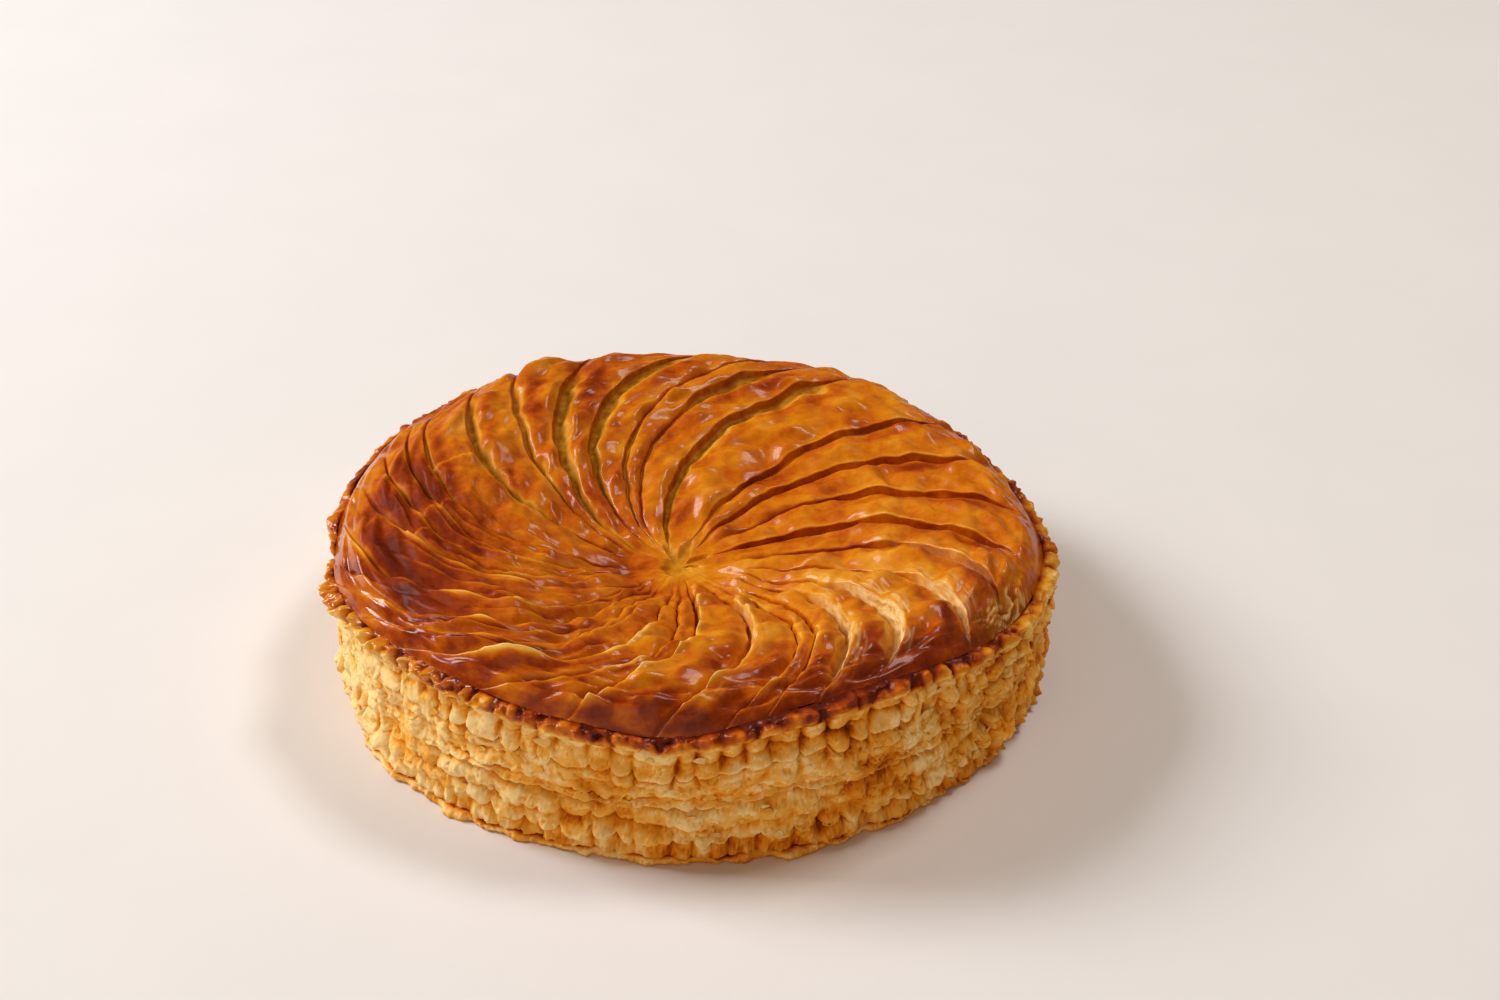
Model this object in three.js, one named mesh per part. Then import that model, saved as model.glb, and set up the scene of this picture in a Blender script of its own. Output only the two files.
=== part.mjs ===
// A galette des rois: an uncut round cake of puff pastry, modelled as one solid.
// The lid is dished, ringed by a puffed ridge, and scored with a swirl of curved knife cuts.
// The wall is crimped all the way round, its layers open into bands, and it stands on a flat base sheet.
// Units are millimetres, +Z is up, and the origin is the middle of the flat underside.
import * as THREE from "three";

// Driving dimensions, mm.
const WALL_RADIUS = 113; // wall, before its crimps and layers
const WALL_HEIGHT = 42.3; // table to the foot of the crimped bead
const BEAD_HEIGHT = 4.8; // crimped bead between the wall and the lid's crease
const BEAD_OVERHANG = 2; // how far the bead stands out over the wall
const CREASE_INSET = 1.2; // how far the crease round the lid lies inside the wall
const RIDGE_HEIGHT = 53; // top of the puffed ring
const RIDGE_AT = 0.86; // place of the ridge, as a part of the lid's radius
const DISH_DEPTH = 19.5; // ridge to the middle of the lid
const SHOULDER = 2.4; // how round the lid is from the ridge down to the crease
const CRIMPS = 96; // crimp marks round the wall
const CRIMP_DEPTH = 1.7;
const COLUMNS = 2 * CRIMPS; // one column of the mesh on each crest and one in each notch
const PETAL_CROWN = 2.4; // how far the pastry between two cuts bulges, at most
const CROWN_PER_WIDTH = 0.17; // and over the width between them, where that is less
const CUT_DEPTH_PER_GAPE = 0.75; // depth of a cut over its width
const SWIRL_CENTRE = new THREE.Vector2(-3.6, -6.1);

// The wall from the table to the crease: share of the wall's height, how far the layer stands
// proud of the wall, and how much of the crimps' depth shows in it.
const WALL_ROWS = [
  { share: 0.0, proud: -1.4, crimp: 0.2 }, // edge of the base sheet, on the table
  { share: 0.035, proud: 0.2, crimp: 0.2 },
  { share: 0.09, proud: 0.3, crimp: 0.3 }, // top edge of the base sheet
  { share: 0.125, proud: -1.6, crimp: 0.6 }, // gap under the lowest layers
  { share: 0.17, proud: 0.4, crimp: 1.0 }, // scalloped lip of the lowest layers
  { share: 0.4, proud: -0.3, crimp: 0.7 },
  { share: 0.45, proud: -1.4, crimp: 0.6 }, // crack half way up
  { share: 0.5, proud: 0.6, crimp: 1.0 }, // lip of the middle layers
  { share: 0.72, proud: -0.3, crimp: 0.8 },
  { share: 0.77, proud: 1.1, crimp: 1.0 }, // lip of the upper layers
  { share: 0.97, proud: 0.2, crimp: 0.8 }, // foot of the bead
];
const BEAD_ROWS = [{ share: 0.45, proud: BEAD_OVERHANG, crimp: 1.0 }];

// Rows of the lid from the crease to the middle, as parts of the lid's radius.
const LID_ROWS = [1.0, 0.965, 0.92, RIDGE_AT, 0.79, 0.71, 0.62, 0.53, 0.43, 0.33, 0.23, 0.14, 0.06];

// The knife cuts of the swirl, anticlockwise from +X, each with its own hand's unevenness:
// angle where its line meets the rim, angle at which it leaves the middle, how late it bends,
// the part of the lid's radius that it starts and ends at, and how far it gapes, in mm.
const CUTS = [
  { rim: 15, middle: 67, bend: 0.9, from: 0.18, to: 0.86, gape: 2.2 },
  { rim: 33, middle: 81, bend: 0.8, from: 0.24, to: 0.88, gape: 2.6 },
  { rim: 51, middle: 127, bend: 0.8, from: 0.16, to: 0.84, gape: 4.6 },
  { rim: 60, middle: 133, bend: 1.2, from: 0.60, to: 0.85, gape: 4.8 },
  { rim: 68, middle: 138, bend: 1.3, from: 0.15, to: 0.55, gape: 2.0 },
  { rim: 77, middle: 141, bend: 2.0, from: 0.30, to: 0.87, gape: 4.2 },
  { rim: 105, middle: 166, bend: 1.1, from: 0.16, to: 0.83, gape: 4.4 },
  { rim: 122, middle: 169, bend: 1.1, from: 0.34, to: 0.84, gape: 3.0 },
  { rim: 128, middle: 173, bend: 2.3, from: 0.35, to: 0.85, gape: 4.0 },
  { rim: 138, middle: 195, bend: 2.5, from: 0.58, to: 0.86, gape: 2.0 },
  { rim: 144, middle: 205, bend: 2.5, from: 0.62, to: 0.88, gape: 2.0 },
  { rim: 153, middle: 212, bend: 2.8, from: 0.70, to: 0.90, gape: 2.0 },
  { rim: 167, middle: 232, bend: 2.2, from: 0.51, to: 0.86, gape: 2.8 },
  { rim: 178, middle: 235, bend: 4.5, from: 0.63, to: 0.94, gape: 2.6 },
  { rim: 198, middle: 241, bend: 6.0, from: 0.78, to: 0.97, gape: 2.4 },
  { rim: 208, middle: 248, bend: 7.0, from: 0.84, to: 0.97, gape: 2.2 },
  { rim: 220, middle: 261, bend: 6.5, from: 0.44, to: 0.97, gape: 3.4 },
  { rim: 237, middle: 268, bend: 6.5, from: 0.76, to: 0.97, gape: 2.6 },
  { rim: 252, middle: 276, bend: 3.5, from: 0.22, to: 0.97, gape: 3.0 },
  { rim: 265, middle: 291, bend: 3.6, from: 0.36, to: 0.97, gape: 2.8 },
  { rim: 275, middle: 299, bend: 4.7, from: 0.69, to: 0.97, gape: 2.0 },
  { rim: 281, middle: 306, bend: 3.4, from: 0.70, to: 0.96, gape: 2.0 },
  { rim: 289, middle: 316, bend: 2.7, from: 0.48, to: 0.95, gape: 4.0 },
  { rim: 298, middle: 323, bend: 4.1, from: 0.48, to: 0.93, gape: 5.0 },
  { rim: 317, middle: 336, bend: 3.2, from: 0.68, to: 0.95, gape: 3.4 },
  { rim: 327, middle: 355, bend: 2.7, from: 0.51, to: 0.92, gape: 2.6 },
  { rim: 341, middle: 381, bend: 1.3, from: 0.22, to: 0.89, gape: 2.6 },
  { rim: 358, middle: 406, bend: 1.1, from: 0.46, to: 0.89, gape: 2.4 },
];

const TURN = 360;
const COLUMN_PITCH = TURN / COLUMNS;
const radians = THREE.MathUtils.degToRad;

// A smooth hill of height 1 over the angles within halfWidth of the middle, 0 elsewhere.
function swell(angle, middle, halfWidth) {
  const away = Math.abs(THREE.MathUtils.euclideanModulo(angle - middle + 180, TURN) - 180);
  return away < halfWidth ? 0.5 + 0.5 * Math.cos((Math.PI * away) / halfWidth) : 0;
}

// The cake is not quite round: it is fuller at 338 degrees and flatter beside that, at 14 degrees.
function wallRadius(angle) {
  const leaning = 0.5 * Math.cos(radians(angle - 250));
  const waves = 0.5 * Math.cos(radians(3 * angle - 40)) + 0.5 * Math.cos(radians(5 * angle + 10));
  return WALL_RADIUS + leaning + waves + 1.4 * swell(angle, 338, 24) - 2.6 * swell(angle, 14, 28);
}

// The layers rose unevenly: highest at 297 degrees, lowest at 22 degrees.
function wallHeight(angle) {
  const front = 6.2 * swell(angle, 297, 36) + 2.6 * swell(angle, 231, 26) - 2.6 * swell(angle, 269, 16);
  return WALL_HEIGHT + front + 2.6 * swell(angle, 130, 65) - 4.5 * swell(angle, 22, 48);
}

// How far the bead stands out: one lump of it hangs over on the left.
function beadOverhang(angle) {
  return 3 * swell(angle, 199, 12) - 1.6 * swell(angle, 188, 9);
}

// The crease pulls in on the side where the wall rose highest and where it is flattest.
function creaseRadius(angle) {
  const pull = 2 * swell(angle, 200, 18) - 1.8 * swell(angle, 298, 40) - 2.2 * swell(angle, 14, 28);
  return WALL_RADIUS - CREASE_INSET + pull;
}

function ridgeHeight(angle) {
  const puff = 4.2 * swell(angle, 120, 85) + 1.2 * swell(angle, 300, 50) - 2.6 * swell(angle, 18, 48);
  return RIDGE_HEIGHT + puff;
}

// Height of the lid before its petals and cuts; part runs from 0 in the middle to 1 at the crease.
function dishedHeight(part, angle) {
  const ridge = ridgeHeight(angle);
  if (part <= RIDGE_AT) {
    const across = part / RIDGE_AT;
    const climb = 0.5 * across + 0.5 * THREE.MathUtils.smoothstep(across, 0, 1);
    return THREE.MathUtils.lerp(RIDGE_HEIGHT - DISH_DEPTH, ridge, climb);
  }
  const over = (part - RIDGE_AT) / (1 - RIDGE_AT);
  const crease = wallHeight(angle) + BEAD_HEIGHT;
  return THREE.MathUtils.lerp(ridge, crease, over ** SHOULDER);
}

// Each cut starts from a column of the mesh, so that the mesh's edges run along it.
const cuts = CUTS.map((cut) => ({ ...cut, column: Math.round(cut.rim / COLUMN_PITCH) }));

function cutAngle(cut, part) {
  const rim = cut.column * COLUMN_PITCH;
  return cut.middle + (rim - cut.middle) * part ** cut.bend;
}

// How open a cut is at this part of the lid's radius: 0 before its ends, 1 along its length.
function cutOpening(cut, part) {
  const taper = 0.06;
  const opens = THREE.MathUtils.smoothstep(part, cut.from - taper, cut.from + taper);
  return opens * (1 - THREE.MathUtils.smoothstep(part, cut.to - taper, cut.to + taper));
}

// The same cut, counted a whole turn further round.
function turned(cut, turns) {
  return { ...cut, column: cut.column + turns * COLUMNS, middle: cut.middle + turns * TURN };
}

const ring = [turned(cuts.at(-1), -1), ...cuts, turned(cuts[0], 1)];

// The petal that a column runs through: the cut on each side of it, and its place between them.
function petalOf(column) {
  const next = ring.findIndex((cut) => cut.column > column);
  const first = ring[next - 1];
  const last = ring[next];
  return { first, last, step: column - first.column, steps: last.column - first.column };
}

// Place across a petal, 0 to 1: the columns beside a cut close in to the width that it gapes.
function acrossPetal(petal, part, width) {
  const { first, last, step, steps } = petal;
  const even = 1 / steps;
  const side = (cut) => {
    const narrow = Math.min((0.5 * cut.gape) / width, even);
    return THREE.MathUtils.lerp(even, narrow, cutOpening(cut, part));
  };
  if (step === 0) return 0;
  if (steps < 3) return step / steps;
  return THREE.MathUtils.lerp(side(first), 1 - side(last), (step - 1) / (steps - 2));
}

function lidPoint(column, part) {
  const rimAngle = column * COLUMN_PITCH;
  const petal = petalOf(column);
  const radius = part * creaseRadius(rimAngle);
  const from = cutAngle(petal.first, part);
  const to = cutAngle(petal.last, part);
  const width = radius * radians(to - from);
  const across = acrossPetal(petal, part, width);
  const angle = THREE.MathUtils.lerp(from, to, across);
  const highest = Math.min(PETAL_CROWN, CROWN_PER_WIDTH * width) * (1 - part ** 12);
  const crown = highest * (1 - (2 * across - 1) ** 2);
  const isCut = petal.step === 0;
  const sunk = isCut ? petal.first.gape * CUT_DEPTH_PER_GAPE * cutOpening(petal.first, part) : 0;
  const slide = 1 - part;
  return new THREE.Vector3(
    SWIRL_CENTRE.x * slide + radius * Math.cos(radians(angle)),
    SWIRL_CENTRE.y * slide + radius * Math.sin(radians(angle)),
    dishedHeight(part, angle) + crown - sunk,
  );
}

function ringPoint(column, row, overhang, height) {
  const angle = column * COLUMN_PITCH;
  const notch = column % 2 === 1 ? CRIMP_DEPTH * row.crimp : 0;
  const radius = wallRadius(angle) + row.proud + overhang - notch;
  return new THREE.Vector3(
    radius * Math.cos(radians(angle)),
    radius * Math.sin(radians(angle)),
    height,
  );
}

function wallPoint(column, row) {
  return ringPoint(column, row, 0, row.share * wallHeight(column * COLUMN_PITCH));
}

function beadPoint(column, row) {
  const angle = column * COLUMN_PITCH;
  return ringPoint(column, row, beadOverhang(angle), wallHeight(angle) + row.share * BEAD_HEIGHT);
}

// Every row of the surface, from the middle of the underside up the wall to the middle of the lid.
function surfaceRows() {
  const underside = () => new THREE.Vector3(0, 0, 0);
  const wall = WALL_ROWS.map((row) => (column) => wallPoint(column, row));
  const bead = BEAD_ROWS.map((row) => (column) => beadPoint(column, row));
  const lid = LID_ROWS.map((part) => (column) => lidPoint(column, part));
  const middle = () => new THREE.Vector3(SWIRL_CENTRE.x, SWIRL_CENTRE.y, dishedHeight(0, 0));
  return [underside, ...wall, ...bead, ...lid, middle];
}

// Moves the geometry sideways until the middle of its outline is on the Z axis.
function centreOnAxis(geometry) {
  geometry.computeBoundingBox();
  const middle = geometry.boundingBox.getCenter(new THREE.Vector3());
  geometry.translate(-middle.x, -middle.y, 0);
}

// A lathe gives the closed skin its rows and columns, and each vertex then moves to its place.
function galetteGeometry() {
  const rows = surfaceRows();
  const outline = rows.map((row, index) => {
    const onAxis = index === 0 || index === rows.length - 1;
    return new THREE.Vector2(onAxis ? 0 : WALL_RADIUS, row(0).z);
  });
  const geometry = new THREE.LatheGeometry(outline, COLUMNS);
  const position = geometry.getAttribute("position");
  for (let column = 0; column <= COLUMNS; column += 1) {
    rows.forEach((row, index) => {
      const { x, y, z } = row(column % COLUMNS);
      position.setXYZ(column * rows.length + index, x, y, z);
    });
  }
  centreOnAxis(geometry);
  geometry.computeVertexNormals();
  return geometry;
}

const crust = new THREE.MeshStandardMaterial({ color: 0xbd6a22, roughness: 0.38, metalness: 0 });
const galette = new THREE.Mesh(galetteGeometry(), crust);
galette.name = "galette";

const part = new THREE.Group();
part.add(galette);

export default part;
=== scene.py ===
"""A galette des rois: an uncut round cake of puff pastry, glazed and baked dark on its dished lid.

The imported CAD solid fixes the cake's size and place. The pieces here replace its plain surface with
the real one: the scored lid, the crimped bead round it, the leaves of the wall, the base sheet and
the loose flakes. Lengths are in millimetres until a mesh is made, and angles are in degrees,
anticlockwise from +X seen from above.
"""

import math
from collections import namedtuple

import bpy
import numpy as np
from mathutils import Matrix, Vector

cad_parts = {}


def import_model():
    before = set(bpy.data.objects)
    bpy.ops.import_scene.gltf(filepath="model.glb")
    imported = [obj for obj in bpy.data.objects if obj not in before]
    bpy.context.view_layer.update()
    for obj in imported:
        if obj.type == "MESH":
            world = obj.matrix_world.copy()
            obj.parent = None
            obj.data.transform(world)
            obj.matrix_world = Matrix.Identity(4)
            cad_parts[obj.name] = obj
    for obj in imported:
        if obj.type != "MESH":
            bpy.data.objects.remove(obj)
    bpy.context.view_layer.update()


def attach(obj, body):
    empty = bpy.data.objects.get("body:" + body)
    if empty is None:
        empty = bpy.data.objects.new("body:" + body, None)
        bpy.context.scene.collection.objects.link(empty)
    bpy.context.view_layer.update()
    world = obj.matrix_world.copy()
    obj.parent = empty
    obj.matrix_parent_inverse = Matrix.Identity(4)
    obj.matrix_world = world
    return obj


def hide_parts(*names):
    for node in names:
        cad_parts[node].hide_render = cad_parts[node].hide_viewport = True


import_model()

MM = 0.001
TURN = 360.0

# ---- Driving dimensions, the same as the CAD solid's ----
WALL_RADIUS = 113.0
WALL_HEIGHT = 42.3
BEAD_HEIGHT = 4.8
BEAD_OVERHANG = 2.0
CREASE_INSET = 1.2
RIDGE_HEIGHT = 53.0
RIDGE_AT = 0.86
DISH_DEPTH = 19.5
SHOULDER = 2.4
CRIMPS = 96
PETAL_CROWN = 2.4
CROWN_PER_WIDTH = 0.17
SWIRL_CENTRE = (-3.6, -6.1)
CENTRING = (-0.297, 0.878)  # puts the middle of the outline on the Z axis, as the solid has it

# The knife cuts: angle at the rim, angle at the middle, how late the line bends, the part of the
# lid's radius where it starts and ends, how far it gapes, how far its raised lip stands up, and
# how much of the torn white pastry shows in it.
Cut = namedtuple("Cut", "rim middle bend start end gape lip torn")
CUTS = [
    Cut(15, 67, 0.9, 0.18, 0.86, 2.2, 0.8, 0.0),
    Cut(33, 81, 0.8, 0.24, 0.88, 2.6, 0.9, 0.0),
    Cut(51, 127, 0.8, 0.16, 0.84, 4.6, 0.8, 0.0),
    Cut(60, 133, 1.2, 0.60, 0.85, 4.8, 1.0, 0.0),
    Cut(68, 138, 1.3, 0.15, 0.55, 2.0, 0.5, 0.0),
    Cut(77, 141, 2.0, 0.30, 0.87, 4.2, 0.9, 0.0),
    Cut(105, 166, 1.1, 0.16, 0.83, 4.4, 0.9, 0.0),
    Cut(122, 169, 1.1, 0.34, 0.84, 3.0, 0.9, 0.1),
    Cut(128, 173, 2.3, 0.35, 0.85, 4.0, 1.0, 0.1),
    Cut(138, 195, 2.5, 0.58, 0.86, 2.0, 1.0, 0.0),
    Cut(144, 205, 2.5, 0.62, 0.88, 2.0, 1.2, 0.0),
    Cut(153, 212, 2.8, 0.70, 0.90, 2.0, 1.2, 0.0),
    Cut(167, 232, 2.2, 0.51, 0.86, 2.8, 1.6, 0.0),
    Cut(178, 235, 4.5, 0.63, 0.94, 2.6, 1.8, 0.0),
    Cut(198, 241, 6.0, 0.78, 0.97, 2.4, 1.8, 0.0),
    Cut(208, 248, 7.0, 0.84, 0.97, 2.2, 1.6, 0.0),
    Cut(220, 261, 6.5, 0.44, 0.97, 3.4, 2.2, 0.0),
    Cut(237, 268, 6.5, 0.76, 0.97, 2.6, 1.8, 0.0),
    Cut(252, 276, 3.5, 0.22, 0.97, 3.0, 1.4, 0.0),
    Cut(265, 291, 3.6, 0.36, 0.97, 2.8, 1.3, 0.3),
    Cut(275, 299, 4.7, 0.69, 0.97, 2.0, 1.2, 0.1),
    Cut(281, 306, 3.4, 0.70, 0.96, 2.0, 1.1, 0.1),
    Cut(289, 316, 2.7, 0.48, 0.95, 4.0, 1.2, 0.8),
    Cut(298, 323, 4.1, 0.48, 0.93, 5.0, 1.3, 1.0),
    Cut(317, 336, 3.2, 0.68, 0.95, 3.4, 1.2, 0.8),
    Cut(327, 355, 2.7, 0.51, 0.92, 2.6, 1.0, 0.2),
    Cut(341, 381, 1.3, 0.22, 0.89, 2.6, 1.0, 0.0),
    Cut(358, 406, 1.1, 0.46, 0.89, 2.4, 0.9, 0.0),
]

# Plates of the crust that tore across a petal and lifted: part of the lid's radius and angle at
# each end of the tear, how far its edge stands up, and how far inwards the lift reaches.
PLATES = [
    (0.770, 165.5, 0.675, 157.0, 1.3, 9.0),
    (0.748, 186.0, 0.690, 181.5, 0.9, 5.0),
    (0.694, 178.5, 0.668, 175.0, 0.8, 4.0),
    (0.790, 194.5, 0.705, 190.5, 1.1, 7.0),
    (0.705, 190.5, 0.640, 194.5, 0.9, 5.0),
    (0.870, 174.0, 0.872, 163.0, 0.7, 4.0),
]

# Stretches of the wall where the leaves fused into a smooth sheet: angle and height of the middle,
# half width and half height, how far it swells, all but the angle in mm.
SHEETS = [
    (210, 33, 20, 9, 0.9),
    (228, 35, 9, 5, 0.7),
    (248, 28, 19, 4, 0.7),
    (279, 15, 36, 4.5, 0.5),
    (266, 26, 15, 3, 0.4),
    (299, 40, 9, 4, 0.9),
    (306, 31, 8, 7, 1.6),
    (317, 30, 6, 6, 1.2),
    (290, 29, 10, 4, 0.8),
    (342, 24, 15, 4, 0.5),
    (22, 20, 20, 5, 0.6),
    (68, 31, 16, 6, 0.8),
    (121, 18, 22, 5, 0.6),
    (163, 30, 15, 6, 0.8),
]


# ---- The cake's outline, as in the CAD solid ----
def smooth(value, low, high):
    """0 below low, 1 above high, and a smooth step between."""
    share = np.clip((value - low) / (high - low), 0.0, 1.0)
    return share * share * (3.0 - 2.0 * share)


def swell(angle, middle, half_width):
    """A smooth hill of height 1 at the middle angle, 0 beyond half_width from it."""
    away = np.abs((angle - middle + 180.0) % TURN - 180.0)
    return np.where(away < half_width, 0.5 + 0.5 * np.cos(np.pi * away / half_width), 0.0)


def hills(angle, *terms):
    """The sum of hills, each given by its height, its middle angle and its half width."""
    return sum(height * swell(angle, middle, half_width) for height, middle, half_width in terms)


def bell(away, width):
    """1 where away is 0, and almost 0 at twice the width to either side."""
    return np.exp(-((away / width) ** 2))


def cosine(angle):
    return np.cos(np.radians(angle))


def sine(angle):
    return np.sin(np.radians(angle))


def wall_radius(angle):
    waves = 0.5 * (cosine(angle - 250) + cosine(3 * angle - 40) + cosine(5 * angle + 10))
    return WALL_RADIUS + waves + hills(angle, (1.4, 338, 24), (-2.6, 14, 28))


def wall_height(angle):
    front = hills(angle, (6.2, 297, 36), (2.6, 231, 26), (-2.6, 269, 16))
    return WALL_HEIGHT + front + hills(angle, (2.6, 130, 65), (-4.5, 22, 48))


def bead_overhang(angle):
    return BEAD_OVERHANG + hills(angle, (3.0, 199, 12), (-1.6, 188, 9))


def crease_radius(angle):
    return WALL_RADIUS - CREASE_INSET + hills(angle, (2.0, 200, 18), (-1.8, 298, 40), (-2.2, 14, 28))


def ridge_height(angle):
    return RIDGE_HEIGHT + hills(angle, (4.2, 120, 85), (1.2, 300, 50), (-2.6, 18, 48))


def dished_height(part, angle):
    """Height of the lid before its petals and cuts, at a part of the lid's radius."""
    ridge = ridge_height(angle)
    middle = RIDGE_HEIGHT - DISH_DEPTH
    across = np.clip(part / RIDGE_AT, 0.0, 1.0)
    inside = middle + (ridge - middle) * (0.5 * across + 0.5 * smooth(across, 0, 1))
    over = np.clip((part - RIDGE_AT) / (1 - RIDGE_AT), 0.0, 1.0)
    outside = ridge + (wall_height(angle) + BEAD_HEIGHT - ridge) * over**SHOULDER
    return np.where(part <= RIDGE_AT, inside, outside)


# ---- Noise ----
def grain(points, size, seed):
    """Smooth gradient noise, about -1 to 1, whose bumps are size apart. points is (..., 3)."""
    scaled = np.asarray(points, float) / size + 31.7 * (seed + 1)
    cell = np.floor(scaled).astype(np.int64)
    inside = scaled - cell
    fade = inside**3 * (inside * (inside * 6 - 15) + 10)
    total = np.zeros(scaled.shape[:-1])
    for corner in np.ndindex(2, 2, 2):
        lattice = cell + corner
        key = lattice[..., 0] * 73856093 ^ lattice[..., 1] * 19349663 ^ lattice[..., 2] * 83492791
        key = (key ^ (seed * 2654435761)) & 0x7FFFFFFF
        key = ((key ^ (key >> 15)) * 2246822519) & 0x7FFFFFFF
        key = ((key ^ (key >> 13)) * 3266489917) & 0x7FFFFFFF
        weight = np.ones(scaled.shape[:-1])
        slope = np.zeros(scaled.shape[:-1])
        for axis in range(3):
            step = corner[axis]
            weight = weight * (fade[..., axis] if step else 1 - fade[..., axis])
            pull = ((key >> (axis * 8)) & 255) / 127.5 - 1
            slope = slope + pull * (inside[..., axis] - step)
        total += weight * slope
    return total * 1.7


def stack(*arrays):
    return np.stack(np.broadcast_arrays(*arrays), axis=-1)


def around(radius, angle, height):
    """Points from cylinder coordinates."""
    return stack(radius * cosine(angle), radius * sine(angle), height)


def speck(seed, x, y, z=0.5):
    """Grain at places that are already scaled, so that its bumps are 1 apart."""
    return grain(stack(x, y, z), 1.0, seed)


# ---- Objects and meshes ----
def add_object(name, data):
    """An object of the scene that shows a mesh, a lamp or a camera."""
    made = bpy.data.objects.new(name, data)
    bpy.context.scene.collection.objects.link(made)
    return made


def grid_faces(rows, columns, closed):
    """Quads between neighbouring vertices of a grid, whose columns may close on themselves."""
    index = np.arange(rows * columns).reshape(rows, columns)
    following = np.roll(index, -1, axis=1)
    if not closed:
        index, following = index[:, :-1], following[:, :-1]
    return np.stack([index[:-1], following[:-1], following[1:], index[1:]], axis=-1).reshape(-1, 4)


def grid_object(name, points, material, looks, closed=True, cap=None):
    """An object from points (rows, columns, 3); looks gives its material a number at each vertex.

    cap is a last point that closes the grid's last row, as in the middle of the lid.
    """
    rows, columns = points.shape[:2]
    vertices = points.reshape(-1, 3)
    faces = [grid_faces(rows, columns, closed)]
    looks = {key: np.broadcast_to(values, (rows, columns)).ravel() for key, values in looks.items()}
    if cap is not None:
        last = np.arange((rows - 1) * columns, rows * columns)
        following = np.roll(last, -1)
        if not closed:
            last, following = last[:-1], following[:-1]
        faces.append(np.stack([last, following, np.full(len(last), len(vertices))], axis=-1))
        vertices = np.vstack([vertices, cap])
        looks = {key: np.append(values, values[-1]) for key, values in looks.items()}
    return mesh_object(name, vertices, faces, material, looks)


def mesh_object(name, vertices, faces, material, looks):
    """A smooth-shaded mesh object from vertices in millimetres and arrays of faces."""
    mesh = bpy.data.meshes.new(name)
    loops = np.concatenate([group.ravel() for group in faces]).astype(np.int32)
    sizes = np.concatenate([np.full(len(group), group.shape[1]) for group in faces])
    starts = np.concatenate([[0], np.cumsum(sizes)[:-1]]).astype(np.int32)
    placed = (vertices + (*CENTRING, 0.0)) * MM
    mesh.vertices.add(len(vertices))
    mesh.vertices.foreach_set("co", placed.astype(np.float32).ravel())
    mesh.loops.add(len(loops))
    mesh.loops.foreach_set("vertex_index", loops)
    mesh.polygons.add(len(starts))
    mesh.polygons.foreach_set("loop_start", starts)
    for key, values in looks.items():
        attribute = mesh.attributes.new(key, "FLOAT", "POINT")
        attribute.data.foreach_set("value", np.asarray(values, np.float32))
    mesh.update(calc_edges=True)
    mesh.validate()
    mesh.shade_smooth()
    mesh.materials.append(material)
    return add_object(name, mesh)


# ---- Materials ----
def srgb(red, green, blue):
    """A linear colour from the 0 to 255 values of a screen."""
    def linear(value):
        value = value / 255
        return value / 12.92 if value <= 0.04045 else ((value + 0.055) / 1.055) ** 2.4

    return (linear(red), linear(green), linear(blue), 1.0)


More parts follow.
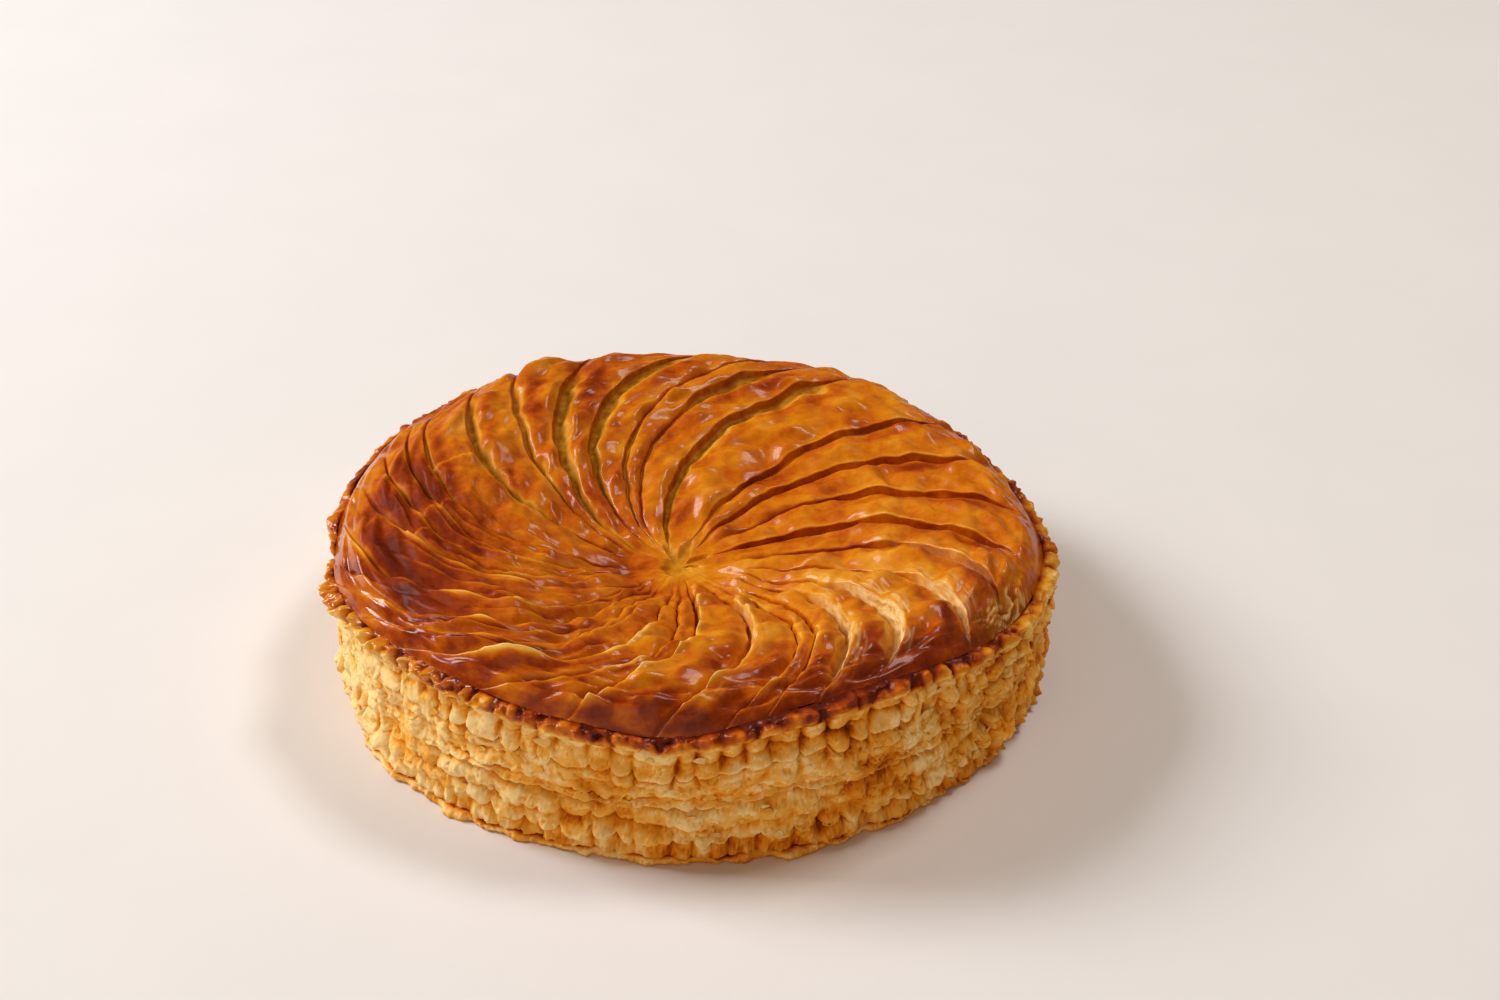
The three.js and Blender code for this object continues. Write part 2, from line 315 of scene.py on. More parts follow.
class Nodes:
    """Short ways to add nodes to a material."""

    def __init__(self, name):
        self.material = bpy.data.materials.new(name)
        self.material.use_nodes = True
        self.tree = self.material.node_tree
        self.tree.nodes.clear()
        self.place = self.add("TexCoord").outputs["Object"]

    def add(self, kind, inputs=None, **settings):
        """A node whose named inputs get numbers or the outputs of other nodes."""
        node = self.tree.nodes.new("ShaderNode" + kind)
        for key, value in settings.items():
            setattr(node, key, value)
        for key, value in (inputs or {}).items():
            if isinstance(value, bpy.types.NodeSocket):
                self.tree.links.new(value, node.inputs[key])
            else:
                node.inputs[key].default_value = value
        return node

    def look(self, name):
        return self.add("Attribute", attribute_name=name).outputs["Fac"]

    def maths(self, operation, *values, clamp=False):
        inputs = dict(enumerate(values))
        return self.add("Math", inputs, operation=operation, use_clamp=clamp).outputs[0]

    def noise_at(self, place, scale, detail, roughness, distortion):
        """Noise about 0, from -0.5 to 0.5."""
        inputs = {"Vector": place, "Scale": scale, "Detail": detail, "Roughness": roughness}
        node = self.add("TexNoise", {**inputs, "Distortion": distortion})
        return self.maths("SUBTRACT", node.outputs["Fac"], 0.5)

    def noise(self, size, detail=3.0, roughness=0.55, stretch=None, distortion=0.0):
        """Noise about 0 with bumps of size millimetres."""
        place = self.place
        if stretch:
            place = self.add("Mapping", {"Vector": place, "Scale": stretch}).outputs[0]
        return self.noise_at(place, 1 / (size * MM), detail, roughness, distortion)

    def torn_layers(self):
        """Noise about 0 in fine lines that follow a cut: across them "layer", along them "length"."""
        along = self.maths("MULTIPLY", self.look("length"), 0.12)
        place = self.add("CombineXYZ", {"X": self.look("layer"), "Y": along}).outputs["Vector"]
        return self.noise_at(place, scale=1.4, detail=4.0, roughness=0.65, distortion=0.5)

    def total(self, first, *weighted):
        """first plus each (value, weight)."""
        for value, weight in weighted:
            first = self.maths("MULTIPLY_ADD", value, weight, first)
        return first

    def ramp(self, value, stops):
        node = self.add("ValToRGB", {"Fac": value})
        elements = node.color_ramp.elements
        while len(elements) < len(stops):
            elements.new(0.5)
        for element, (position, colour) in zip(elements, stops):
            element.position = position
            element.color = srgb(*colour)
        return node.outputs["Color"]

    def mix(self, share, first, second):
        inputs = {"Factor": share, "A": first, "B": second}
        return self.add("Mix", inputs, data_type="RGBA", clamp_factor=True).outputs["Result"]

    def bump(self, height, distance, strength):
        """A bump of so many millimetres."""
        inputs = {"Strength": strength, "Distance": distance * MM, "Height": height}
        return self.add("Bump", inputs).outputs["Normal"]

    def finish(self, **sockets):
        inputs = {key.replace("_", " "): value for key, value in sockets.items()}
        shader = self.add("BsdfPrincipled", inputs)
        self.add("OutputMaterial", {"Surface": shader.outputs[0]})
        return self.material


LID_BROWNING = [
    (0.00, (242, 194, 96)),
    (0.20, (226, 154, 40)),
    (0.38, (210, 122, 8)),
    (0.54, (190, 90, 2)),
    (0.70, (150, 54, 1)),
    (0.85, (114, 34, 2)),
    (1.00, (84, 22, 3)),
]

LEAF_BROWNING = [
    (0.00, (252, 218, 150)),
    (0.20, (243, 180, 76)),
    (0.40, (229, 142, 14)),
    (0.58, (202, 104, 2)),
    (0.75, (158, 68, 0)),
    (0.89, (104, 40, 2)),
    (1.00, (54, 20, 4)),
]

TORN_LAYERS = [
    (0.25, (176, 112, 40)),
    (0.45, (232, 184, 104)),
    (0.62, (252, 226, 166)),
]

OLIVE_DOUGH = [
    (0.28, (110, 66, 8)),
    (0.50, (158, 104, 14)),
    (0.72, (198, 144, 36)),
]


def lid_material():
    """Egg-washed crust: browned by height and place, with painted light and shade in the same tones,
    glossy, with dull olive cuts.
    """
    nodes = Nodes("glazed_crust")
    browning_and_painted_shading = nodes.total(
        nodes.look("browning_and_painted_shading"),
        (nodes.noise(13, detail=2), 0.54),
        (nodes.noise(4.0, detail=3, distortion=0.4), 0.36),
        (nodes.noise(1.2, detail=3), 0.14),
    )
    colour = nodes.ramp(browning_and_painted_shading, LID_BROWNING)
    olive = nodes.ramp(nodes.maths("ADD", nodes.noise(3.5, detail=3), 0.5), OLIVE_DOUGH)
    torn = nodes.ramp(nodes.maths("ADD", nodes.torn_layers(), 0.5), TORN_LAYERS)
    colour = nodes.mix(nodes.look("olive"), colour, olive)
    colour = nodes.mix(nodes.look("torn"), colour, torn)
    dull = nodes.maths("MAXIMUM", nodes.look("olive"), nodes.look("torn"))
    gloss = nodes.look("gloss")
    wrinkles = nodes.total(
        nodes.noise(2.6, detail=3, roughness=0.6, distortion=1.0), (nodes.noise(0.6, detail=2), 0.3)
    )
    return nodes.finish(
        Base_Color=colour,
        Roughness=nodes.total(0.66, (nodes.noise(5, detail=2), 0.2), (dull, 0.3), (gloss, -0.28)),
        IOR=1.45,
        Specular_IOR_Level=0.08,
        Subsurface_Weight=0.08,
        Subsurface_Radius=(1.0, 0.3, 0.08),
        Subsurface_Scale=1.5 * MM,
        Coat_Weight=nodes.maths("MULTIPLY", nodes.maths("SUBTRACT", 0.28, dull, clamp=True), gloss),
        Coat_Roughness=0.16,
        Normal=nodes.bump(wrinkles, 0.13, 0.5),
    )


def leaf_material():
    """Dry leaves of puff pastry: cream where thin and pale, golden to brown at their edges, with painted
    light and shade in the same tones.
    """
    nodes = Nodes("flaky_leaves")
    layering = nodes.noise(1.2, detail=4, roughness=0.65, stretch=(0.3, 0.3, 1.6))
    browning_and_painted_shading = nodes.total(
        nodes.look("browning_and_painted_shading"),
        (nodes.noise(13, detail=2), 0.20),
        (nodes.noise(3.2, detail=3, distortion=0.6), 0.24),
        (layering, 0.12),
    )
    relief = nodes.total(layering, (nodes.noise(0.8, detail=3, roughness=0.65), 0.6))
    return nodes.finish(
        Base_Color=nodes.ramp(browning_and_painted_shading, LEAF_BROWNING),
        Roughness=nodes.total(0.5, (nodes.noise(4, detail=2), 0.25)),
        IOR=1.42,
        Specular_IOR_Level=0.1,
        Subsurface_Weight=0.15,
        Subsurface_Radius=(1.0, 0.5, 0.18),
        Subsurface_Scale=2.0 * MM,
        Coat_Weight=0.04,
        Coat_Roughness=0.25,
        Normal=nodes.bump(relief, 0.25, 0.6),
    )


def paper_material():
    """The plain pale ground under the cake."""
    nodes = Nodes("pale_ground")
    tone = nodes.maths("ADD", nodes.noise(60, detail=2), 0.5)
    colour = nodes.ramp(tone, [(0.2, (232, 229, 228)), (0.8, (235, 232, 231))])
    return nodes.finish(
        Base_Color=colour, Roughness=0.75, Normal=nodes.bump(nodes.noise(1.0, detail=2), 0.1, 0.25)
    )


# ---- The lid ----
LID_ROWS = 165
INNERMOST = 0.02  # part of the lid's radius at the last row round the middle
WALL_STEPS = (0.0, 0.25, 0.5, 0.75, 1.0)  # up the lip's side of a cut, as parts of its run
LIP_STEPS = (0.3, 0.8, 1.5, 2.4)  # over the lip, mm beyond its run
EDGE_STEPS = (2.4, 1.4, 0.7, 0.3, 0.0)  # to the edge of the other side, mm before the floor
FLOOR_STEPS = (0.2, 0.45, 0.72)  # down the slope to the floor and across it, as parts of both
COLUMN_STEP = 0.95  # mm from column to column in a petal's middle, near the rim
SLIT = 0.3  # width of a cut at its inner end, as a part of its full gape
TAPER = 0.06  # part of the lid's radius within which a cut opens or closes, to either side
PUFFED = 1.7  # how much more the petals puff up than the CAD solid's, where they are narrow
CREASE_WIDTH = 0.55  # mm, half the width of the dark line between two petals
HUB = 0.055  # part of the lid's radius where the petals end round the flat middle
SCORED = 0.38  # how open the shallow line is that runs on from a cut to the middle
FOLD_PITCH = 6.0  # mm from fold to fold where the crust slid into waves
FOLD_HEIGHT = 2.7
FOLDED = (220, 50)  # the sector of the lid that did so: its middle angle and half width
BACK = (85, 90)  # the sector where the cuts have low lips and wide, even floors
FRONT = (262, 50)  # the sector where the cuts are deep and their lips high


def cut_angle(cut, part):
    return cut.middle + (cut.rim - cut.middle) * part**cut.bend


def cut_opening(cut, part):
    """How open a cut is: 0 beyond its ends, SCORED on the line inwards of it, and 1 between."""
    start = cut.start - 0.05 if cut.start < 0.25 else cut.start
    line_start = 0.08 if cut.start < 0.3 else 0.26
    opened = smooth(part, start - TAPER, start + TAPER)
    opened = np.maximum(opened, SCORED * smooth(part, line_start, line_start + 0.1))
    return opened * (1 - smooth(part, cut.end - TAPER, cut.end + TAPER))


def cut_widening(cut, part):
    """How far a cut has widened, from a slit at its inner end to its full gape further out."""
    return SLIT + (1 - SLIT) * smooth(part, cut.start, cut.start + 0.7 * (cut.end - cut.start))


def cut_slant(cut, part):
    """How far the cut's line turns from the radial, as a slope."""
    return np.radians((cut.rim - cut.middle) * cut.bend * part**cut.bend)


def wandering_angle(number, part):
    """The cut's angle with the small wander of a hand-held knife."""
    wander = 0.9 * speck(3, part * 14, 9.1 * number) + 0.45 * speck(16, part * 38, 9.1 * number)
    return cut_angle(CUTS[number], part) + np.degrees(wander / (part * WALL_RADIUS + 8))


def petal_columns(cut, after):
    """How many columns the middle of the petal between two cuts needs."""
    width = (after.rim - cut.rim) % TURN * np.radians(1) * RIDGE_AT * WALL_RADIUS
    return int(np.clip(round(width / COLUMN_STEP), 8, 40))


def floor_width(cut):
    """Width of the flat floor of an open cut: a narrow one is little more than a slit."""
    return (1.05 + 0.35 * swell(cut.rim, *BACK)) * (cut.gape - 1.1) * (1 - 0.3 * cut.torn)


def floor_depth(cut):
    back, front = swell(cut.rim, *BACK), swell(cut.rim, *FRONT)
    return 0.4 + (0.15 - 0.07 * back) * cut.gape + 0.9 * front + 0.8 * cut.torn


def on_lid(part, angle, rim):
    """x and y on the lid, whose middle is the swirl's centre and whose rim has this radius."""
    x = SWIRL_CENTRE[0] * (1 - part) + part * rim * cosine(angle)
    y = SWIRL_CENTRE[1] * (1 - part) + part * rim * sine(angle)
    return x, y


def petal(number, part):
    """One petal of the lid, from its own cut to the next: points, and what its looks need."""
    following = (number + 1) % len(CUTS)
    cut, after = CUTS[number], CUTS[following]
    begin = wandering_angle(number, part)
    end = wandering_angle(following, part) + (TURN if following == 0 else 0.0)
    straight = np.cos(np.arctan(0.5 * (cut_slant(cut, part) + cut_slant(after, part))))
    width = part * (WALL_RADIUS - CREASE_INSET) * np.radians(end - begin) * straight
    length = np.zeros_like(part)
    length[1:] = np.cumsum(-np.diff(part, axis=0) * WALL_RADIUS / straight[1:], axis=0)

    # Where the columns lie across the petal: its own cut's wall and lip, its middle, and the edge
    # and the floor of the next cut.
    opening = cut_opening(cut, part)
    opening_after = cut_opening(after, part)
    lip = cut.lip * (1 - 0.75 * swell(cut.rim, *BACK)) * (1 + 0.5 * swell(cut.rim, *FRONT))
    lip = lip * (1 - 0.5 * cut.torn) * (1 + 1.2 * speck(15, part * 20, 7.7 * number))
    uneven = 1.3 - 0.9 * swell(after.rim, *BACK)
    ragged = 1 + uneven * speck(14, part * 20, 5.3 * following)
    run = 0.35 + (0.12 + 0.28 * cut.torn) * cut.gape * opening * cut_widening(cut, part)
    floor = 0.3 + floor_width(after) * cut_widening(after, part) * opening_after * ragged
    squeeze = np.minimum(1.0, 0.85 * width / (run + LIP_STEPS[-1] + floor + EDGE_STEPS[0]))
    run, floor = run * squeeze, floor * squeeze
    lead = np.hstack([run * WALL_STEPS, run + squeeze * LIP_STEPS])
    tail = np.hstack([width - floor - squeeze * EDGE_STEPS, width - floor + floor * FLOOR_STEPS])
    spread = np.linspace(0, 1, petal_columns(cut, after) + 2)[None, 1:-1]
    middle = lead[:, -1:] + (tail[:, :1] - lead[:, -1:]) * spread
    across = np.hstack([lead, middle, tail])
    share = across / width
    angle = begin + (end - begin) * share
    part = np.broadcast_to(part, angle.shape)
    x, y = on_lid(part, angle, crease_radius(angle))

    # The petal rises up the wall of its own cut to a lip, bulges, leans away from the lip, and
    # drops from a soft edge down a slope to the narrow floor at the foot of the next cut's wall.
    climb = smooth(across / run, 0.0, 1.0)
    beyond = np.maximum(across - run, 0.0) / squeeze
    before = (across - width + floor) / squeeze
    sunk = smooth((across - width + floor) / floor, 0.0, FLOOR_STEPS[1])
    full = np.minimum(PETAL_CROWN, PUFFED * CROWN_PER_WIDTH * width) * (1 - part**12)
    full = full * (1 + 0.45 * swell(cut.rim, 280, 55))
    arch = (1 - (2 * share - 1) ** 2) * (0.36 + 0.245 * (opening + opening_after))
    arch = arch * smooth(part, 0.04, 0.24)
    leaning = 0.45 * opening * climb * (1 - share) ** 1.5
    crown = full * (arch + leaning) * (1 - opening_after * sunk)
    lifted = lip * opening * climb * np.exp(-beyond / 3.2)
    rounding = 0.45 * opening_after * np.exp(np.minimum(before, 0) / 0.7) * (1 - sunk)
    depth = floor_depth(cut) * opening * (1 - climb) + floor_depth(after) * opening_after * sunk
    crease = (1 - opening) * bell(across, CREASE_WIDTH)
    crease = crease + (1 - opening_after) * bell(width - across, CREASE_WIDTH)
    crease = crease * smooth(part, 0.13, 0.26) * (1 - smooth(part, 0.9, 0.97))
    height = dished_height(part, angle) + crown + lifted - rounding - depth - 0.6 * crease

    on_wall = opening * (across < run * 0.9)
    on_floor = opening_after * sunk
    wide = smooth(after.gape, 2.5, 3.9)
    flaked = opening * cut.torn * bell(across - run - 1.5, 2.2) * (across > run)
    flaked = flaked * smooth(speck(17, part * 22, across / 0.9, number), 0.05, 0.4)
    bare = on_wall * cut.torn * smooth(part, cut.start, cut.start + 0.12)
    olive = 0.9 * on_floor * (0.15 + 0.85 * wide) * (1 - 0.5 * after.torn)
    return {
        "points": stack(x, y, height),
        "part": part,
        "angle": angle % TURN,
        "across": across,
        "length": np.broadcast_to(length, angle.shape),
        "room": np.minimum(across - run, width - floor - across),
        "number": np.full(angle.shape, number),
        "wall": on_wall * (1 - cut.torn),
        "floor": on_floor,
        "crease": crease,
        "olive": np.maximum(olive, 0.5 * on_wall * swell(cut.rim, 85, 80)),
        "torn": np.maximum(bare, np.maximum(0.1 * on_floor * after.torn, 0.6 * flaked)),
        "lip": opening * bell(across - run, 0.9) * lip,
        "before_cut": opening_after * bell(before + 3.6, 3.2),
        "slope": opening_after * bell(before - 0.15 * floor, 0.3 + 0.2 * floor),
    }


def folds(whole):
    """The slid crust's waves: height in mm, painted light and shade from dark valley to light crest, and
    strength.
    """
    part, length, across, number = (whole[key] for key in ("part", "length", "across", "number"))
    wander = 0.7 * speck(31, length / 40, number * 3.7)
    cross = 0.15 * speck(32, length / 12, across / 9, number * 5.3)
    place = (across / FOLD_PITCH + wander + cross + 0.37 * number) % 1
    crest = np.minimum(place / 0.16, 1.0) * (1 - place) ** 0.8
    valley = bell(place, 0.06) + bell(1 - place, 0.08)
    # Painted light and shade: light on the crest and a line just past it, shade in the valley.
    tone = 0.6 * crest + 0.5 * bell(place - 0.2, 0.1) - 0.5 * valley
    patchy = smooth(speck(33, length / 30, across / 7, number * 8.9), -0.5, 0.1)
    strength = swell(whole["angle"], *FOLDED) ** 0.5 * patchy
    strength = strength * smooth(whole["room"], 0.8, 2.6) * smooth(part, 0.25, 0.45)
    height = FOLD_HEIGHT * (crest - 0.35) * strength
    return height, tone, strength * (1 - 0.5 * smooth(part, 0.93, 0.99))


def plates(points):
    """Lift of the torn plates, and 0 to 1 along their raised edges."""
    lift = np.zeros(points.shape[:-1])
    edge = np.zeros(points.shape[:-1])
    for part_a, angle_a, part_b, angle_b, rise, reach in PLATES:
        start = np.array(on_lid(part_a, angle_a, WALL_RADIUS))
        finish = np.array(on_lid(part_b, angle_b, WALL_RADIUS))
        length = np.linalg.norm(finish - start)
        forward = (finish - start) / length
        inward = np.array((-forward[1], forward[0]))
        inward = inward * np.sign(inward @ (np.array(SWIRL_CENTRE) - start))
        offset = points[..., :2] - start
        along = (offset @ forward) / length
        bend = 1.2 * np.sin(np.pi * np.clip(along, 0, 1))
        depth = offset @ inward + bend + 0.5 * grain(points, 3.0, 34)
        beside = smooth(along, -0.12, 0.05) * (1 - smooth(along, 0.95, 1.12))
        raised = smooth(depth, -0.35, 0.35) * np.exp(-np.maximum(depth, 0) / reach) * beside
        lift = np.maximum(lift, rise * raised)
        edge = np.maximum(edge, beside * bell(depth - 0.3, 0.7))
    return lift, edge


def lid_relief(whole):
    """Lifts the lid's points by the crust's relief, and adds to whole what the looks need of it."""
    points, part, angle = whole["points"], whole["part"], whole["angle"]
    flat = points * (1, 1, 0)

    # Slow waves, puffs along each petal, blisters, and wrinkles that run across the petals.
    petal_place = whole["number"] * 17.0
    strip = stack(whole["length"] / 1.3, whole["across"] / 1.2, petal_place)
    creased = stack(whole["length"], whole["across"] / 3.0, petal_place)
    rough = 0.75 - 0.25 * swell(angle, 220, 60)
    body = smooth(part, 0.05, 0.2)
    quiet = smooth(whole["room"], -0.2, 2.0) * body
    waves = 1.6 * grain(flat, 24, 1) + 1.2 * grain(flat, 11, 2)
    puffs = 3.0 * np.sqrt(grain(strip, 10.5, 4) ** 2 + 0.008) - 0.8 + 1.3 * rough * grain(strip, 5.0, 5)
    patches = smooth(grain(flat, 16, 6), -0.3, 0.5)
    wrinkles = (0.4 * grain(creased, 2.6, 7) + 0.1 * grain(creased, 1.4, 8)) * (0.2 + patches)
    large, small = grain(flat, 5.5, 9) - 0.4, grain(flat, 2.8, 10) - 0.45
    blisters = 1.4 * np.maximum(large, 0) + 0.4 * np.maximum(small, 0)

    # The folds and torn plates, the rift at the right with its ragged stairs, the rim's pleats, and
    # the flat hub with the petals' blunt ends round it.
    fold_height, fold_tone, folded = folds(whole)
    plate_lift, plate_edge = plates(points)
    rift = swell(angle, 330, 17) * smooth(part, 0.925, 0.95)
    layers = (1 - part) * WALL_RADIUS / 2.4 + 1.8 * grain(flat, 8, 11) + 0.6 * grain(flat, 2.8, 18)
    tread = layers % 1
    terraces = 1.5 * rift * (smooth(tread, 0.0, 0.16) * (1 - tread))
    pleats = speck(12, part * WALL_RADIUS / 1.5, 12 * cosine(angle), 12 * sine(angle))
    pleats = pleats * smooth(part, 0.87, 0.94) * (0.35 + 1.0 * swell(angle, 265, 80))
    ends = HUB + 0.05 * speck(13, 2.2 * cosine(angle), 2.2 * sine(angle))
    hub = 1 - smooth(part, ends - 0.012, ends + 0.012)
    blunt = (1 - hub) * bell(part - ends, 0.06)

    lift = waves * body + (puffs + rough * (wrinkles + 0.7 * blisters)) * quiet + 1.1 * pleats
    lift = lift + fold_height + plate_lift + 0.9 * blunt - 0.4 * hub - 2.6 * rift + terraces
    rim = 1 - smooth(part, 0.965, 0.99)
    points[..., 2] += lift * rim - 1.5 * smooth(part, 0.968, 1.0) ** 2
    whole.update(waves=waves, blisters=blisters, fold_tone=fold_tone, folded=folded, hub=hub)
    whole.update(plate_edge=plate_edge, rift=rift, terraces=terraces, pleats=pleats, blunt=blunt)


# How brown the glaze baked at parts of the lid's radius.
BAKED_PARTS = (0, 0.12, 0.35, 0.6, 0.8, 0.9, 0.95, 0.98, 1.0)
BAKED_BROWNS = (0.44, 0.47, 0.46, 0.43, 0.42, 0.46, 0.50, 0.55, 0.61)
# Sectors that are darker or lighter, the lighter left rim partly as painted highlight: how much,
# middle angle, half width, and the parts of the lid's radius where the change is none and where it is
# full.
DARKER_AND_LIGHTER_SECTORS = [
    (-0.05, 290, 70, 0.30, 0.50),
    # The lighter left rim: partly a paler glaze, partly painted highlight.
    (-0.14, 190, 45, 0.88, 0.94),
    (0.20, 272, 75, 0.90, 0.97),
    (-0.08, 320, 60, 0.86, 0.78),
    (0.20, 310, 38, 0.82, 0.92),
]


def lid_tone_and_painted_shading(whole):
    """How brown the glaze is, darker to the rim and before each cut, with painted shade on cut walls, at
    the foot of the front cuts, along creases and in fold valleys, and painted highlight on lips, fold
    crests, higher waves and the slopes into the cuts.
    """
    part, angle = whole["part"], whole["angle"]
    browning_and_painted_shading = np.interp(part, BAKED_PARTS, BAKED_BROWNS)
    for change, middle, half_width, none, full in DARKER_AND_LIGHTER_SECTORS:
        browning_and_painted_shading = browning_and_painted_shading + change * swell(angle, middle, half_width) * smooth(part, none, full)
    outer = smooth(part, 0.45, 0.85) * (1 - 0.7 * smooth(part, 0.85, 0.95))
    front = swell(angle, 265, 60)
    browning_and_painted_shading = (
        browning_and_painted_shading
        + outer * hills(angle, (0.37, 195, 50), (0.04, 255, 45))
        + 0.16 * whole["before_cut"] * (0.4 + outer)
        # painted shade on the cuts' walls, less at the back and the front
        + whole["wall"] * (0.34 - 0.1 * swell(angle, 85, 80) - 0.2 * front)
        # painted shade at the foot of the front cuts' walls
        + whole["floor"] * 0.3 * front
        # painted shade in the fold valleys and painted highlight on their crests
        + whole["folded"] * (0.22 - 0.40 * whole["fold_tone"])
        + whole["rift"] * (0.22 - 0.3 * smooth(whole["terraces"], 0.0, 0.9))
        # painted shade along the crease line between two petals, on top of its shallow groove
        + 0.3 * whole["crease"]
        + 0.08 * whole["blisters"]
        # painted light on the higher ground of the slow waves, painted shade in their hollows
        - 0.05 * whole["waves"]
        - 0.22 * whole["pleats"]
        - 0.25 * whole["plate_edge"]
        # the cuts' raised lips paler: partly their own lighter colour, partly painted highlight
        - 0.18 * whole["lip"]
        # painted highlight on the soft edge that slopes down into the next cut, less at the front
        - 0.26 * whole["slope"] * (1 - 0.7 * front)
    )
    browning_and_painted_shading = browning_and_painted_shading - 0.5 * np.maximum(browning_and_painted_shading - 0.70, 0)
    return browning_and_painted_shading - 0.12 * whole["hub"] - 0.10 * whole["blunt"]


def lid():
    """The scored and glazed lid, from the crease to the middle of the swirl, in two halves."""
    even = np.linspace(0, 1, LID_ROWS)
    part = (1.0 - (1.0 - INNERMOST) * even**1.08)[:, None]
    petals = [petal(number, part) for number in range(len(CUTS))]
    half = sum(one["part"].shape[1] for one in petals[: len(CUTS) // 2])
    whole = {key: np.concatenate([one[key] for one in petals], axis=1) for key in petals[0]}
    lid_relief(whole)
    points, part, angle, rift = (whole[key] for key in ("points", "part", "angle", "rift"))
    dry = swell(angle, 192, 62) ** 0.5 * smooth(part, 0.45, 0.6) * (1 - smooth(part, 0.9, 0.96))
    torn = whole["torn"] + 0.7 * rift * smooth(whole["terraces"], 0.6, 1.1)
    looks = {
        "browning_and_painted_shading": lid_tone_and_painted_shading(whole),
        "olive": np.clip(np.maximum(whole["olive"], 0.45 * rift) + 0.4 * whole["hub"], 0, 1),
        "torn": np.clip(torn, 0, 1),
        "layer": whole["across"] + 4 * whole["terraces"],
        "length": whole["length"],
        "gloss": 1 - 0.95 * dry + 1.3 * swell(angle, 190, 55) * smooth(part, 0.91, 0.96),
    }
    middle = points[-1].mean(axis=0)
    material = lid_material()
    pieces = []
    for name, columns in (("galette_lid_back", (0, half)), ("galette_lid_front", (half, None))):
        chosen = np.arange(points.shape[1])[slice(*columns)]
        chosen = np.append(chosen, (chosen[-1] + 1) % points.shape[1])
        chosen_looks = {key: values[:, chosen] for key, values in looks.items()}
        pieces.append(grid_object(name, points[:, chosen], material, chosen_looks, False, middle))
    return pieces


# ---- The side: base sheet, leaves and bead, as one surface from the underside to the crease ----
COLUMNS_PER_CRIMP = 21
SIDE_COLUMNS = CRIMPS * COLUMNS_PER_CRIMP
CRIMP_PITCH = TURN / CRIMPS
ANGLES = np.arange(SIDE_COLUMNS) * TURN / SIDE_COLUMNS
ROUND = around(WALL_RADIUS, ANGLES, 0.0)

# The leaves, bottom to top: height of the lip as a share of the wall's height, how far it stands
# proud, how deep the gap under it is, how far its rounded lip hangs at the middle of a crimp, how
# brown its lip is, how much of the way round it stands open, and how much more at left and right.
Leaf = namedtuple("Leaf", "share proud gap hang brown open beside")
LEAVES = [
    Leaf(0.215, 1.5, 2.2, 2.6, 0.44, 1.4, 0.0),
    Leaf(0.350, 0.9, 1.4, 1.8, 0.36, -0.3, 1.0),
    Leaf(0.500, 0.9, 2.2, 0.6, 0.60, 1.2, 0.0),
    Leaf(0.590, 0.8, 1.0, 1.0, 0.34, -0.5, 0.9),
    Leaf(0.690, 0.9, 1.3, 1.4, 0.36, 0.1, 0.3),
    Leaf(0.785, 1.7, 2.2, 2.6, 0.52, 1.3, 0.0),
    Leaf(0.925, 0.8, 0.9, 1.0, 0.30, -0.6, 0.4),
]
UNDER_BEAD = Leaf(1.0, 0.5, 1.2, 0.0, 0.0, 0.7, 0.0)  # what stands in for a leaf above them
# How deep the grooves between the crimps are in mm, at shares of the wall's height.
GROOVE_SHARES = (0.0, 0.2, 0.32, 0.45, 0.62, 0.72, 0.85, 1.0)
GROOVE_DEPTHS = (3.0, 3.8, 2.6, 1.2, 1.2, 3.2, 4.6, 3.4)
LEAF_STEPS = (0.0, 0.05, 0.10, 0.16, 0.23, 0.31, 0.40, 0.49, 0.58, 0.67, 0.76, 0.85, 0.94)

# The base sheet from the middle of the underside to the recess over it: out from its outline in
# mm, share of its thickness, browning.
BASE_PROFILE = [
    (-75.0, 0.0, 0.55),
    (-9.0, 0.0, 0.58),
    (-1.0, 0.0, 0.62),
    (-0.3, 0.12, 0.56),
    (0.0, 0.38, 0.40),
    (0.0, 0.62, 0.30),
    (-0.25, 0.84, 0.28),
    (-0.6, 0.98, 0.36),
    (-1.1, 1.04, 0.44),
    (-1.7, 1.03, 0.50),
    (-2.4, 1.00, 0.58),
    (-3.0, 1.05, 0.70),
]
BASE_THICKNESS = 2.3
# Flaps where the base sheet's edge sticks out, and a stretch where it is drawn in: how far in mm,
# angle, half width.
BASE_FLAPS = [
    (3.0, 219, 7),
    (2.4, 232, 5),
    (1.6, 244, 4),
    (2.0, 30, 9),
    (1.8, 104, 6),
    (2.2, 160, 8),
    (-1.6, 335, 50),
]
RECESS_ROWS = 6
FIRST_LEAF_ROW = len(BASE_PROFILE) + RECESS_ROWS
FIRST_BEAD_ROW = FIRST_LEAF_ROW + len(LEAVES) * len(LEAF_STEPS)
LAMINA_PITCH = 2.3  # mm between the thin leaves' edges
SHEET_STEP = 0.45  # mm from one torn sheet of the wall to the next


def crimp_place(height):
    """Where each column lies, counted in crimps: they wander, differ in width and lean a little."""
    solid = around(WALL_RADIUS, ANGLES, height)
    lean = 0.030 * (height - 20) * grain(ROUND, 60, 30)
    wander = 0.55 * grain(ROUND, 11, 31) + 0.22 * grain(solid, 8, 50)
    return ANGLES / CRIMP_PITCH + lean + wander


def per_crimp(value, place, sharp):
    """value(crimp) over each crimp, changing quickly but smoothly where one meets the next."""
    centre = place - 0.5
    number = np.floor(centre).astype(int)
    share = smooth(centre - number, 1 - sharp, sharp)
    return value(number % CRIMPS) * (1 - share) + value((number + 1) % CRIMPS) * share


